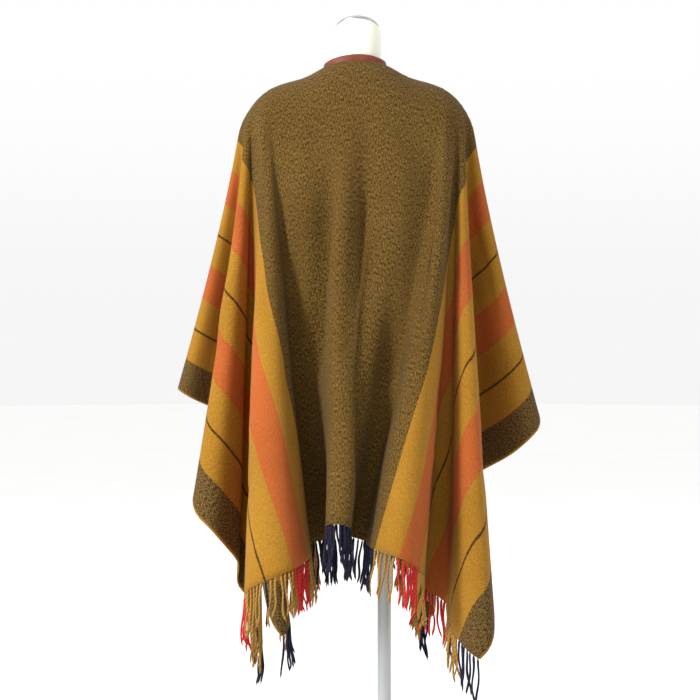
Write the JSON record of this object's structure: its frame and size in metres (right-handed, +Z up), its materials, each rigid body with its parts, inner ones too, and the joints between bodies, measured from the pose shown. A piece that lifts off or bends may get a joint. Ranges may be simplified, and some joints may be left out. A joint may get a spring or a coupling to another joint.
{
  "type": "poncho on a dress form stand",
  "caption": "Large open-front wrap poncho in striped wool with twisted fringe and a leather neck binding, draped on a limbless dress form with a pole stand",
  "frame": {"origin": "centre of the underside of the base, on the pole axis; the form and garment stand 50 mm toward the wearer's left of it", "axes": "+Z up, the wearer faces -Y, +X is the wearer's left, row in metres"},
  "size_m": [0.6644, 0.5165, 1.4973],
  "materials": {
    "wool_cloth": "soft brushed wool with a herringbone weave and bands of ochre and orange",
    "wool_fringe": "wool yarn twisted in pairs, in the colours of the warp",
    "binding_leather": "smooth reddish brown leather, semi matt",
    "form_cover": "cream stretch cover, matt",
    "cap_metal": "brushed grey metal",
    "stand_metal": "satin grey paint"
  },
  "bodies": {
    "root": {"poncho_cloth": "wool_cloth", "neck_binding": "binding_leather", "fringe_back": "wool_fringe", "fringe_front_left": "wool_fringe", "fringe_front_right": "wool_fringe", "dress_form": "form_cover", "neck_cap": "cap_metal", "pole_flange": "stand_metal", "stand_pole": "stand_metal", "stand_base": "stand_metal"}
  },
  "joints": []
}
